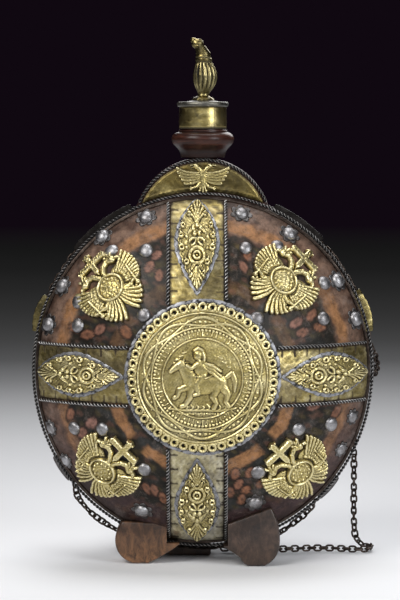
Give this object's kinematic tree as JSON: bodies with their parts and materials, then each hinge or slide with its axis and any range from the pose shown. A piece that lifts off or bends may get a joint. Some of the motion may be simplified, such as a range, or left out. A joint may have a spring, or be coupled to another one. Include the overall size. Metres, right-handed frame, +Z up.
{
  "type": "wooden flask",
  "caption": "Round lens-shaped wooden flask on feet, faced with a brass cross, medallion and badges, with a turned neck, lift-off capped stopper and iron chain.",
  "frame": {"origin": "on the floor under the middle of the flask, feet on z = 0", "axes": "+Z up along the neck, -Y towards the decorated front, +X to the right seen from the front"},
  "size_m": [0.26, 0.164, 0.3843],
  "materials": {
    "painted_wood": "old paint and varnish, satin",
    "dark_wood": "dark stained, polished by use",
    "foot_wood": "worn, bare at the edges",
    "brass": "embossed, patinated in the hollows",
    "brass_sheet": "beaten sheet, dull",
    "tin": "dull tin and solder",
    "iron": "dark forged iron"
  },
  "bodies": {
    "flask": {"body_shell": "painted_wood", "back_disc": "painted_wood", "rim_band_front": "iron", "rim_rope_front": "iron", "rim_band_rear": "iron", "rim_rope_rear": "iron", "foot_left": "foot_wood", "foot_right": "foot_wood", "foot_rear": "foot_wood", "crest_block": "dark_wood", "crest_plate": "brass_sheet", "crest_rope": "iron", "crest_eagle": "brass", "neck": "dark_wood", "arm_plate_top": "brass_sheet", "arm_plate_right": "brass_sheet", "arm_plate_bottom": "brass_sheet", "arm_plate_left": "brass_sheet", "lozenge_bed_top": "tin", "lozenge_bed_right": "tin", "lozenge_bed_bottom": "tin", "lozenge_bed_left": "tin", "lozenge_top": "brass", "lozenge_right": "brass", "lozenge_bottom": "brass", "lozenge_left": "brass", "arm_rope_top_a": "iron", "arm_rope_top_b": "iron", "arm_rope_right_a": "iron", "arm_rope_right_b": "iron", "arm_rope_bottom_a": "iron", "arm_rope_bottom_b": "iron", "arm_rope_left_a": "iron", "arm_rope_left_b": "iron", "medallion_backing": "tin", "medallion_dish": "brass", "medallion_border": "brass", "eagle_badge_upper_left": "brass", "eagle_badge_upper_right": "brass", "eagle_badge_lower_left": "brass", "eagle_badge_lower_right": "brass", "saddle_upper_left": "iron", "saddle_upper_right": "iron", "lug_left": "brass", "lug_right": "brass", "saddle_lower_left": "tin", "saddle_lower_right": "tin", "tail_staple": "iron", "chain_rim_left": "iron", "chain_bottom": "iron", "chain_tail": "iron"},
    "stopper": {"cap_sleeve": "brass", "cap_lid": "brass", "stopper_plug": "foot_wood", "finial": "brass"}
  },
  "joints": [
    {"name": "stopper_lift", "type": "slide", "parent": "flask", "child": "stopper", "axis": [0, 0, 1], "range_m": [0, 0.06]}
  ]
}
